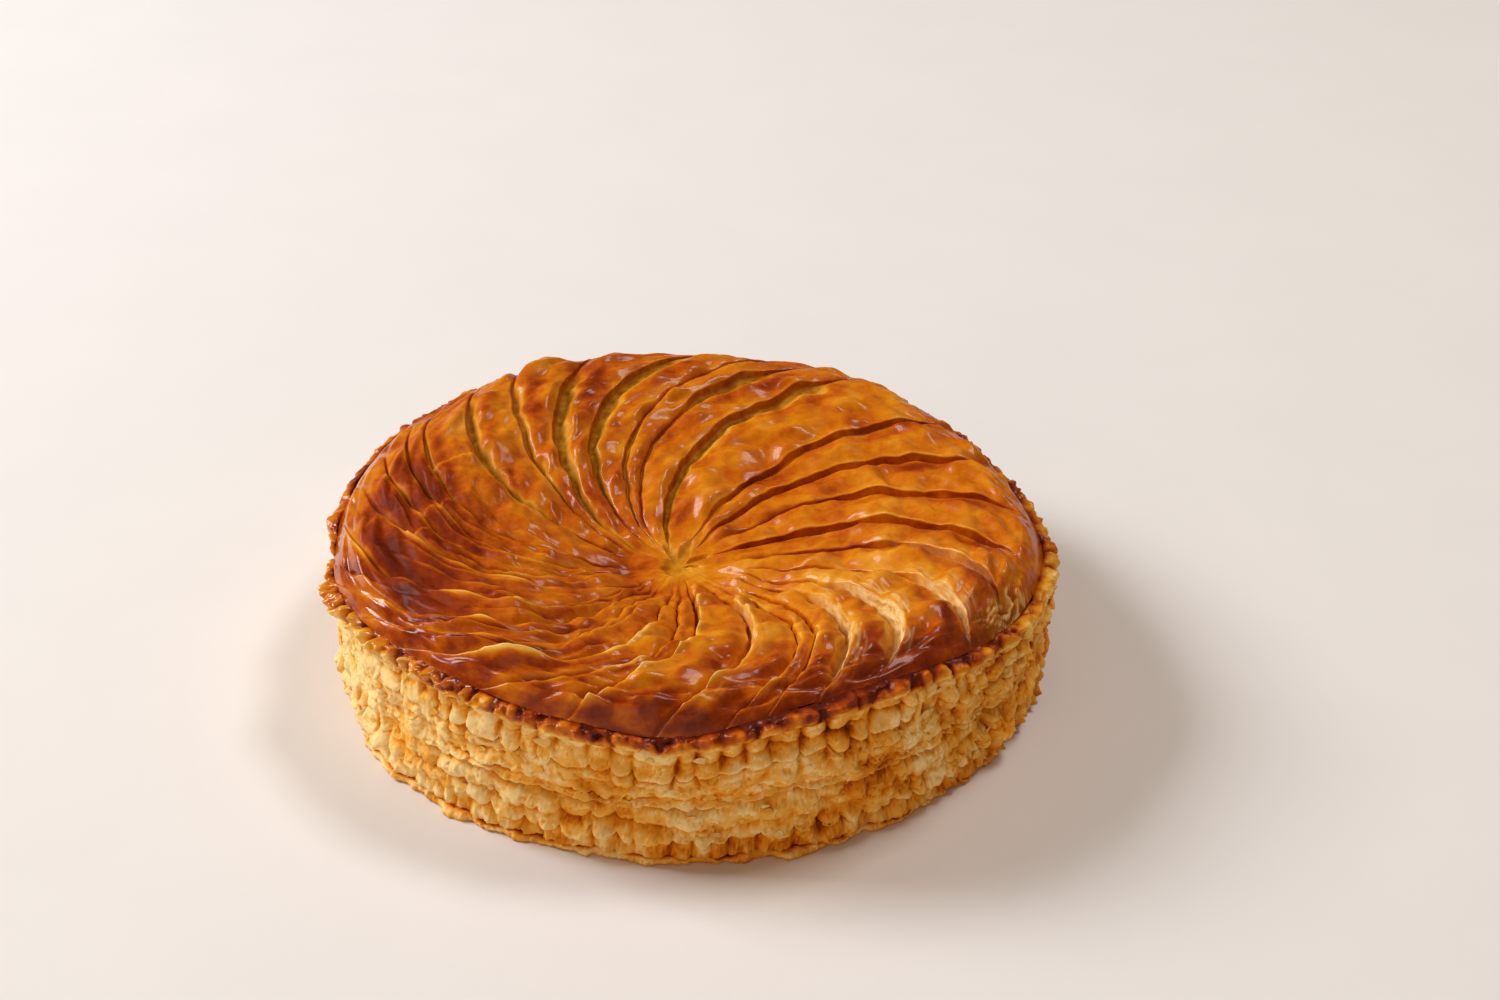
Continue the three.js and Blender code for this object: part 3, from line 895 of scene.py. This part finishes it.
def of_crimp(place, height, seed):
    """Noise about 0 that each crimp has for itself, slowly changing up the wall."""
    return per_crimp(lambda crimp: speck(seed, crimp * 3.3, height / 11), place, 0.7)


def across_crimp(place):
    """-1 to 1 across each crimp."""
    return 2 * (place % 1) - 1


def calm(height):
    """0 to 1 for how smooth the fused sheets leave the wall, and how far they swell in mm."""
    still = np.zeros_like(height)
    bulge = np.zeros_like(height)
    for angle, middle, half_width, half_height, rise in SHEETS:
        sideways = ((ANGLES - angle + 180) % TURN - 180) * np.radians(WALL_RADIUS) / half_width
        away = np.sqrt(sideways**2 + ((height - middle) / half_height) ** 2)
        away = away + 0.25 * grain(around(WALL_RADIUS, ANGLES, height), 6, 35)
        still = np.maximum(still, 1 - smooth(away, 0.75, 1.15))
        bulge = bulge + rise * np.maximum(1 - away**2, 0)
    return still, bulge


def lip_height(level, random):
    """Height of a leaf's lower edge all round: rounded under each crimp, torn and uneven."""
    leaf = LEAVES[level]
    nominal = leaf.share * wall_height(ANGLES)
    place = crimp_place(nominal)
    hang = leaf.hang * np.clip(0.85 + 0.9 * grain(ROUND + (0, 0, 40.0 * level), 30, 40), 0.2, 1.5)
    droop = hang * (1 - np.abs(across_crimp(place)) ** 3.5)
    shifts = random.uniform(-0.9, 0.9, CRIMPS)
    uneven = per_crimp(lambda crimp: shifts[crimp], place, 0.8)
    return nominal - droop + uneven + 1.8 * grain(ROUND + (0, 0, 60.0 * level), 24, 41)


def fringe(level):
    """The small tears along a leaf's lower edge, in mm up or down."""
    level_round = ROUND + (0, 0, 60.0 * level)
    return 0.9 * grain(level_round, 3.0, 42) + 0.5 * grain(level_round, 1.3, 43)


def base_rows():
    """The thin sheet that the cake stands on, with its ragged baked edge."""
    ragged = 1.8 * grain(ROUND, 13, 70) + 1.4 * grain(ROUND, 5, 71) + 0.7 * grain(ROUND, 1.6, 72)
    outline = wall_radius(ANGLES) - 0.4 + ragged + hills(ANGLES, *BASE_FLAPS)
    thick = BASE_THICKNESS + 1.2 * grain(ROUND, 9, 73) + 0.4 * grain(ROUND, 2.5, 74)
    return [
        (outline + out, thick * share, np.full(SIDE_COLUMNS, brown)) for out, share, brown in BASE_PROFILE
    ]


def leaf_rows():
    """The wall as stacked leaves, each tucked in under the lip of the one above."""
    random = np.random.default_rng(5)
    lips = [lip_height(level, random) for level in range(len(LEAVES))]
    lips.append(wall_height(ANGLES) + 0.4)
    opens = []
    beside = swell(ANGLES, 228, 50) + swell(ANGLES, 328, 45)
    for level, leaf in enumerate(LEAVES):
        patchy = leaf.open + leaf.beside * beside + 1.6 * grain(ROUND + (0, 0, 90.0 * level), 30, 44)
        patchy = patchy - 0.6 * swell(ANGLES, 90, 100)
        if leaf is LEAVES[-1]:
            patchy = patchy + 1.0 * swell(ANGLES, 303, 26)
        still, _ = calm(lips[level])
        opens.append(np.clip(patchy, 0.0, 1.0) * (1 - 0.85 * still))
    opens.append(np.full(SIDE_COLUMNS, UNDER_BEAD.open))
    rows = recess_rows(lips[0])
    for level in range(len(LEAVES)):
        rows.extend(one_leaf(level, lips, opens))
    return rows


def recess_rows(first_lip):
    """The pinched, browner band between the base sheet and the lowest leaves."""
    rows = []
    bottom = BASE_THICKNESS + 0.7
    left = swell(ANGLES, 212, 50)
    for step in np.linspace(0, 1, RECESS_ROWS):
        height = bottom + (first_lip + 1.0 - bottom) * step
        solid = around(WALL_RADIUS, ANGLES, height)
        pleats = 0.8 * grain(solid * (1, 1, 0.4), 3.0, 45) + 0.5 * grain(solid, 1.4, 46)
        rib = np.sqrt(1 - 0.95 * across_crimp(crimp_place(height)) ** 2)
        inset = (2.2 - 1.9 * rib) * (1 - 0.6 * left) + 0.6 * step
        # Painted shade in the grooves between the ribs: darker where rib is low.
        brown = 0.51 - 0.16 * rib + 0.2 * grain(solid, 4, 47) - 0.26 * left
        rows.append((wall_radius(ANGLES) - inset + pleats, height, brown))
    return rows


def one_leaf(level, lips, opens):
    """Rows of one leaf: out from under it, round its lip, and up its face to the next lip."""
    leaf, above = (*LEAVES, UNDER_BEAD)[level : level + 2]
    open_here, open_next = opens[level : level + 2]
    floor, roof = lips[level], lips[level + 1] + 0.9 * open_next
    tears = fringe(level) * open_here
    rows = []
    for step in LEAF_STEPS:
        under = np.interp(step, (0, 0.12), (1, 0))
        height = floor + (roof - floor) * step**1.15 + 1.2 * under * open_here
        height = height + tears * np.interp(step, (0.0, 0.16), (1, 0))
        place = crimp_place(height)
        still, bulge = calm(height)
        rib = np.sqrt(1 - 0.92 * across_crimp(place) ** 2)
        fold = np.interp(step, (0, 0.1, 0.2, 0.34, 0.6, 1.0), (-1, 0.25, 0.95, 1.0, 0.5, -0.1))
        out = (leaf.proud * max(fold, 0.0) + leaf.gap * min(fold, 0.0)) * open_here
        tucked = np.interp(step, (0.62, 1.0), (0, 1)) * open_next
        out = out - tucked * (above.gap - 0.3 * above.proud)
        lower = np.interp(step, (0, 0.12, 0.35), (0.8, 0.3, 0.0)) * open_here
        upper = np.interp(step, (0.6, 1.0), (0.0, 0.4)) * open_next
        swelling = (1 - lower - upper) * (1 - 0.8 * still)
        depth = np.interp(height / wall_height(ANGLES), GROOVE_SHARES, GROOVE_DEPTHS)
        depth = depth * np.clip(0.85 + 1.1 * of_crimp(place, height, 51), 0.25, 1.3)
        depth = depth * (1 - 0.45 * swell(ANGLES, 345, 45))
        out = out + swelling * (1.6 * of_crimp(place, height, 52) + 0.25) + bulge
        out = out - 0.8 * depth * (1 - rib) * swelling
        edge = np.interp(step, (0, 0.08, 0.14, 0.22, 0.8, 1.0), (1.0, 0.8, 0.1, 0.0, 0.0, 0.5))
        shade = 0.22 + leaf.brown * edge * open_here - 0.08 * still
        shade = shade + 0.2 * of_crimp(place, height, 53) * (1 - still)
        rows.append((wall_radius(ANGLES) - 0.5 + out, height, shade))
    return rows


# Round the bead from the wall under it to the crease: out from the wall as a share of the
# overhang, share of the bead's height, how far its lumps swell, browning.
BEAD_PROFILE = [
    (0.00, -0.24, 0.1, 0.50),
    (0.15, -0.22, 0.4, 0.44),
    (0.45, -0.18, 0.7, 0.40),
    (0.75, -0.10, 0.9, 0.40),
    (0.92, 0.02, 1.0, 0.42),
    (1.00, 0.16, 1.0, 0.44),
    (1.00, 0.31, 1.0, 0.48),
    (0.92, 0.45, 1.0, 0.52),
    (0.76, 0.57, 1.0, 0.56),
    (0.52, 0.67, 0.9, 0.60),
    (0.20, 0.75, 0.8, 0.62),
    (-0.20, 0.80, 0.7, 0.64),
    (-0.65, 0.83, 0.6, 0.68),
    (-1.10, 0.80, 0.4, 0.80),
    (-1.42, 0.64, 0.1, 0.92),
    (-1.60, 0.38, 0.0, 0.94),
]
BEAD_ROWS = 27
SMALL_LUMPS = 260


def bead_lumps(steps, random):
    """Swelling of the bead: a lump for each crimp and smaller ones between, each a cap of its own."""
    girth = TURN * np.radians(WALL_RADIUS)
    place = ANGLES * np.radians(WALL_RADIUS)
    lumps = np.zeros((len(steps), SIDE_COLUMNS))
    main = [((number + 0.5) * girth / CRIMPS, 3.6, 0.36, 1.7) for number in range(CRIMPS)]
    small = [(middle, 2.1, 0.24, 1.3) for middle in random.uniform(0, girth, SMALL_LUMPS)]
    for middle, half_width, reach, rise in main + small:
        size = random.uniform(0.55, 1.3)
        centre = middle + random.normal(0, 1.3)
        sideways = (place - centre + girth / 2) % girth - girth / 2
        near = np.abs(sideways) < half_width * size
        slant = random.normal(0, 0.02) * sideways[near]
        up = (steps - 0.42 - random.normal(0, 0.11) - slant) / (reach * size)
        cap = np.sqrt(np.maximum(1 - (sideways[near] / (half_width * size)) ** 2 - up**2, 0))
        lumps[:, near] = np.maximum(lumps[:, near], rise * size * cap)
    return lumps


def bead_rows():
    """The band of crimped, dark lumps between the lid and the wall."""
    steps = np.linspace(0, 1, BEAD_ROWS)[:, None]
    outs, shares, swelling, browns = (
        np.interp(steps, np.linspace(0, 1, len(BEAD_PROFILE)), values) for values in zip(*BEAD_PROFILE)
    )
    height = wall_height(ANGLES) + BEAD_HEIGHT * shares
    overhang = bead_overhang(ANGLES) * (1 - 0.5 * swell(ANGLES, 275, 60))
    inner = wall_radius(ANGLES) - crease_radius(ANGLES) + 0.8
    out = np.where(outs > 0, overhang * outs, inner * outs / 1.6)
    radius = wall_radius(ANGLES) + 0.2 + out

    lumps = bead_lumps(steps, np.random.default_rng(21))
    pinches = speck(75, ANGLES * np.radians(WALL_RADIUS) / 2.8, 3.6 * steps)
    pinches = pinches * (0.3 + 0.7 * swell(ANGLES, 212, 70))
    solid = around(radius, ANGLES, height)
    rough = 0.9 * grain(solid, 3.2, 76) + 0.4 * grain(solid, 1.5, 77)
    claws = swelling * (1 + hills(ANGLES, (0.55, 215, 48), (-0.6, 158, 58)))
    radius = radius + claws * (1.1 * lumps - 1.1 + 1.1 * pinches + rough)
    height = height + claws * (0.8 * (lumps - 0.8) + 0.6 * pinches + 0.6 * rough)

    front = swell(ANGLES, 275, 85)
    bright = 1 - swell(ANGLES, 258, 100)
    pale = smooth(0.30 - shares, 0.0, 0.35) * (1 - 0.7 * swell(ANGLES, 215, 45))
    browning_and_painted_shading = (
        browns
        + hills(ANGLES, (0.14, 308, 30), (0.17, 272, 60), (-0.10, 200, 50), (-0.24, 338, 26))
        + 0.10 * front
        + 0.3 * grain(solid, 6, 78)
        - 0.12 * lumps * (0.3 + 0.7 * front)
        - 0.15 * pinches
        - 0.3 * bright * np.maximum(browns - 0.6, 0)
        - 0.34 * pale
    )
    return [(radius[row], height[row], browning_and_painted_shading[row]) for row in range(BEAD_ROWS)]


def laminae(solid):
    """Thin leaves that end in ragged lower edges all over the wall: mm proud of it, and painted light on
    each edge with painted shade just under it.
    """
    warp = 2.4 * grain(solid * (1, 1, 0.5), 15, 80) + 0.9 * grain(solid, 4.5, 81)
    phase = solid[..., 2] / LAMINA_PITCH + warp + 0.25 * grain(solid, 2.0, 82)
    share = phase % 1
    strength = smooth(grain(solid * (1, 1, 1.6), 6.5, 83), -0.25, 0.45)
    # painted light on the edge and painted shade just under it
    edge = np.exp(-share / 0.2) - 0.9 * smooth(share, 0.72, 1.0)
    return strength * ((1 - share) ** 1.5 - 0.3), strength * edge


def sheets(solid):
    """Thin overlapping sheets with crisp torn borders: mm proud, and painted light of up to 1 along each
    border with painted shade down to -0.9 at its foot.
    """
    lie = 1.1 * grain(solid * (1, 1, 1.5), 10, 84) + 0.4 * grain(solid, 3.2, 85)
    right = swell(ANGLES, 315, 60)
    level = 2.6 * (lie + (0.12 + 0.10 * right) * grain(solid, 1.8, 86))
    share = level % 1
    border = smooth(share, 0.0, 0.14)
    # painted light on each border's rise, painted shade at its foot
    line = 4 * border * (1 - border) - 0.9 * smooth(share, 0.8, 1.0)
    return SHEET_STEP * (1 + 0.7 * right) * (np.floor(level) + border), line


def hollowness(radius):
    """How far each point lies behind its neighbourhood of a few millimetres, in mm."""
    sideways = sum(np.roll(radius, shift, axis=1) for shift in range(-9, 10)) / 19
    padded = np.pad(sideways, ((5, 5), (0, 0)), mode="edge")
    level = sum(padded[shift : shift + len(radius)] for shift in range(11)) / 11
    return level - radius


def side():
    """All the side's rows as points and tones, with the fine relief that covers them, painted shade in
    its hollows, under lips and at the right, and painted light on proud parts, lips and at the left.
    """
    rows = [*base_rows(), *leaf_rows(), *bead_rows()]
    radius, height, browning_and_painted_shading = (np.array([row[index] for row in rows]) for index in range(3))
    solid = around(radius, ANGLES, height)
    above = smooth(height, 0.2, 2.0)
    leafy = 1 - smooth(height, wall_height(ANGLES) - 1.0, wall_height(ANGLES) + 1.0)
    leaves_out, leaf_edge_light_and_shade = laminae(solid)
    sheets_out, sheet_border_light_and_shade = sheets(solid)
    pillowy = smooth(height / wall_height(ANGLES), 0.68, 0.76) * swell(ANGLES, 275, 90)
    relief = 1.2 * grain(solid, 14, 61) + 0.5 * grain(solid, 5, 62) + 0.22 * grain(solid, 2.0, 63)
    torn = leafy * (1 - 0.6 * pillowy) * (0.55 * leaves_out + sheets_out)
    radius = radius + above * (relief + 0.1 * grain(solid, 1.3, 64) + torn)
    height = height + above * (0.35 * grain(solid, 5, 65) + 0.25 * grain(solid, 1.6, 66))
    hollow = hollowness(radius)
    # Painted shade: darker where a point lies behind its neighbours, lighter where it stands proud, more
    # so high on the wall and at the far right.
    hollow_shade_strength = 1 + 0.5 * smooth(height / wall_height(ANGLES), 0.6, 0.75) + 0.5 * swell(ANGLES, 350, 50)
    dark = hollow_shade_strength * np.where(hollow > 0, 0.20 * hollow, 0.10 * hollow)
    patchy = 0.16 * grain(solid, 18, 67) + 0.14 * grain(solid, 5, 68)
    # Painted shade at the right and painted light at the left of the wall, partly a real difference in
    # bake.
    patchy = patchy + leafy * hills(ANGLES, (0.10, 330, 90), (0.09, 350, 45), (-0.12, 205, 50))
    browning_and_painted_shading = browning_and_painted_shading + np.clip(dark, -0.12, 0.36) + patchy
    # Painted light on the leaves' lips and the sheets' borders, painted shade just under them.
    browning_and_painted_shading = browning_and_painted_shading - leafy * (0.14 * leaf_edge_light_and_shade + 0.13 * sheet_border_light_and_shade)
    return around(radius, ANGLES, np.maximum(height, 0.0)), browning_and_painted_shading


def side_pieces(leaf, crust):
    """The side's surface, cut between rows into pieces."""
    points, browning_and_painted_shading = side()
    third = FIRST_BEAD_ROW // 3 + 1
    nothing = np.zeros_like(browning_and_painted_shading)
    bead_gloss = 1 + hills(ANGLES, (-0.6, 305, 70), (1.3, 205, 55))
    looks = {"browning_and_painted_shading": browning_and_painted_shading, "gloss": nothing + bead_gloss}
    looks.update({key: nothing for key in ("olive", "torn", "layer", "length")})
    cuts = (
        ("galette_leaves_low", 0, third, leaf),
        ("galette_leaves_middle", third, 2 * third, leaf),
        ("galette_leaves_high", 2 * third, FIRST_BEAD_ROW, leaf),
        ("galette_bead", FIRST_BEAD_ROW, len(points), crust),
    )
    pieces = []
    for name, start, stop, material in cuts:
        rows = slice(start, min(stop + 1, len(points)))
        chosen = {key: values[rows] for key, values in looks.items()}
        pieces.append(grid_object(name, points[rows], material, chosen))
    return pieces, points


def underside(points, leaf):
    """The flat disc inside the base sheet's first row, facing down."""
    ring = points[0, ::-1]
    disc = np.array([ring, 0.5 * ring])
    return grid_object("galette_underside", disc, leaf, {"browning_and_painted_shading": 0.55}, cap=(0, 0, 0))


# ---- Loose flakes ----
FLAKES = 180
FLAKE_RINGS, FLAKE_COLUMNS = 4, 14
FLAKE_THICKNESS = 0.16


def flake(random, place, normal):
    """A curled scrap of a leaf, held by its upper edge: rings out over its back and in over its face."""
    wide = random.uniform(0.9, 2.8)
    tall = wide * random.uniform(0.3, 0.7)
    up = np.array((0.0, 0.0, 1.0)) + random.normal(0, 0.25, 3)
    sideways = np.cross(up, normal)
    sideways = sideways / np.linalg.norm(sideways)
    up = np.cross(normal, sideways)
    turn = np.linspace(0, 2 * np.pi, FLAKE_COLUMNS, endpoint=False)
    lobes = 0.14 * np.sin(3 * turn + random.uniform(0, 6))
    outline = 1 + lobes + random.uniform(-0.13, 0.13, FLAKE_COLUMNS)
    stand = random.uniform(0.1, 0.45)
    curl = random.uniform(-0.25, 0.35)
    reach = np.linspace(0.03, 1.0, FLAKE_RINGS)
    rings = [(share, -1) for share in reach] + [(share, 1) for share in reach[::-1]]
    rows = []
    for share, face in rings:
        x = wide * share * outline * np.cos(turn)
        y = tall * share * outline * np.sin(turn)
        lift = 0.15 + stand * smooth(-y / tall, -0.6, 1.0) + curl * (x / wide) ** 2
        lift = lift + face * FLAKE_THICKNESS / 2
        rows.append(place + x[:, None] * sideways + y[:, None] * up + lift[:, None] * normal)
    return np.array(rows)


def flakes(points, leaf):
    """Scraps of leaf all over the wall, joined in one mesh."""
    random = np.random.default_rng(77)
    vertices, faces, browning_and_painted_shading = [], [], []
    count = 0
    for _ in range(FLAKES):
        row = random.integers(FIRST_LEAF_ROW, FIRST_BEAD_ROW)
        place = points[row, random.integers(0, SIDE_COLUMNS)]
        outward = place * (1, 1, 0) / np.linalg.norm(place[:2])
        normal = outward + (0, 0, random.uniform(-0.15, 0.35))
        scrap = flake(random, place, normal / np.linalg.norm(normal))
        rows, columns = scrap.shape[:2]
        vertices.append(scrap.reshape(-1, 3))
        faces.append(grid_faces(rows, columns, True) + count)
        browning_and_painted_shading.append(np.full(rows * columns, random.uniform(0.06, 0.3)))
        count += rows * columns
    looks = {"browning_and_painted_shading": np.concatenate(browning_and_painted_shading)}
    return mesh_object("galette_flakes", np.vstack(vertices), [np.vstack(faces)], leaf, looks)


# ---- Camera, light and ground ----
CAMERA_DISTANCE = 760.0
CAMERA_ELEVATION = 34.0
CAMERA_LENS = 55.2
CAMERA_AIM = (0.503, 2.778, 0.0)
SENSOR = 36.0
PHOTO_WIDTH, PHOTO_HEIGHT = 1500, 1000
AIM_PIXEL = (694, 640)  # where the aim lies in the picture
WARM = (1.0, 0.76, 0.54)
# Soft light from the back left, a weaker one from above and a warm fill from the front: name, place
# and size in metres, power in watts, colour.
LIGHTS = [
    ("key", (-2.0, 0.62, 1.53), (1.1, 1.1), 61.0, (0.97, 0.99, 1.0)),
    ("top", (1.2, 0.7, 2.7), (1.0, 0.8), 33.0, (1.0, 0.95, 0.90)),
    ("fill_front", (-0.8, -1.95, 0.78), (2.0, 1.4), 9.5, WARM),
]
SURROUND_STRENGTH = 0.175
BACKDROP = (0.82, 0.77, 0.73)
GROUND_HALF = 9.0  # metres, half the side of the square ground


def camera():
    """The picture's viewpoint: aimed at the cake's foot, then panned until it sits at its pixel."""
    data = bpy.data.cameras.new("camera")
    data.lens = CAMERA_LENS
    data.sensor_width = SENSOR
    data.sensor_fit = "HORIZONTAL"
    data.clip_start = 0.01
    seen = add_object("camera", data)
    aim = Vector(CAMERA_AIM) * MM
    back = Vector((0, -cosine(CAMERA_ELEVATION), sine(CAMERA_ELEVATION))) * CAMERA_DISTANCE * MM
    focal = CAMERA_LENS / SENSOR * PHOTO_WIDTH
    tilt = math.atan((AIM_PIXEL[1] - PHOTO_HEIGHT / 2) / focal)
    pan = math.atan((AIM_PIXEL[0] - PHOTO_WIDTH / 2) / focal * math.cos(tilt))
    looking = (-back).to_track_quat("-Z", "Y").to_matrix().to_4x4()
    turned = looking @ Matrix.Rotation(pan, 4, "Y") @ Matrix.Rotation(tilt, 4, "X")
    seen.matrix_world = Matrix.Translation(aim + back) @ turned
    bpy.context.scene.camera = seen


def area_light(name, place, size, power, colour):
    data = bpy.data.lights.new(name, "AREA")
    data.shape = "RECTANGLE"
    data.size, data.size_y = size
    data.energy = power
    data.color = colour
    lamp = add_object(name, data)
    lamp.location = place
    lamp.rotation_euler = (-Vector(place)).to_track_quat("-Z", "Y").to_euler()


def world():
    """A dim warm surround that looks pale where the camera sees past the ground."""
    surround = bpy.data.worlds.new("studio")
    surround.use_nodes = True
    nodes, links = surround.node_tree.nodes, surround.node_tree.links
    lighting = nodes["Background"]
    lighting.inputs["Color"].default_value = (*WARM, 1.0)
    lighting.inputs["Strength"].default_value = SURROUND_STRENGTH
    backdrop = nodes.new("ShaderNodeBackground")
    backdrop.inputs["Color"].default_value = (*BACKDROP, 1.0)
    choice = nodes.new("ShaderNodeMixShader")
    links.new(nodes.new("ShaderNodeLightPath").outputs["Is Camera Ray"], choice.inputs[0])
    links.new(lighting.outputs[0], choice.inputs[1])
    links.new(backdrop.outputs[0], choice.inputs[2])
    links.new(choice.outputs[0], nodes["World Output"].inputs["Surface"])
    bpy.context.scene.world = surround


def studio():
    """The lights, the surround and a plain pale ground."""
    for light in LIGHTS:
        area_light(*light)
    world()
    bpy.context.scene.view_settings.view_transform = "Standard"

    half = GROUND_HALF
    corners = [(-half, -half, 0), (half, -half, 0), (half, half, 0), (-half, half, 0)]
    mesh = bpy.data.meshes.new("ground")
    mesh.from_pydata(corners, [], [(0, 1, 2, 3)])
    mesh.materials.append(paper_material())
    ground = add_object("ground", mesh)


# ---- The whole ----
camera()
studio()
leaf = leaf_material()
pieces = lid()
crust = pieces[0].data.materials[0]
side_parts, side_points = side_pieces(leaf, crust)
pieces.extend(side_parts)
pieces.append(underside(side_points, leaf))
pieces.append(flakes(side_points, leaf))
for piece in pieces:
    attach(piece, "root")
    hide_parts("galette")
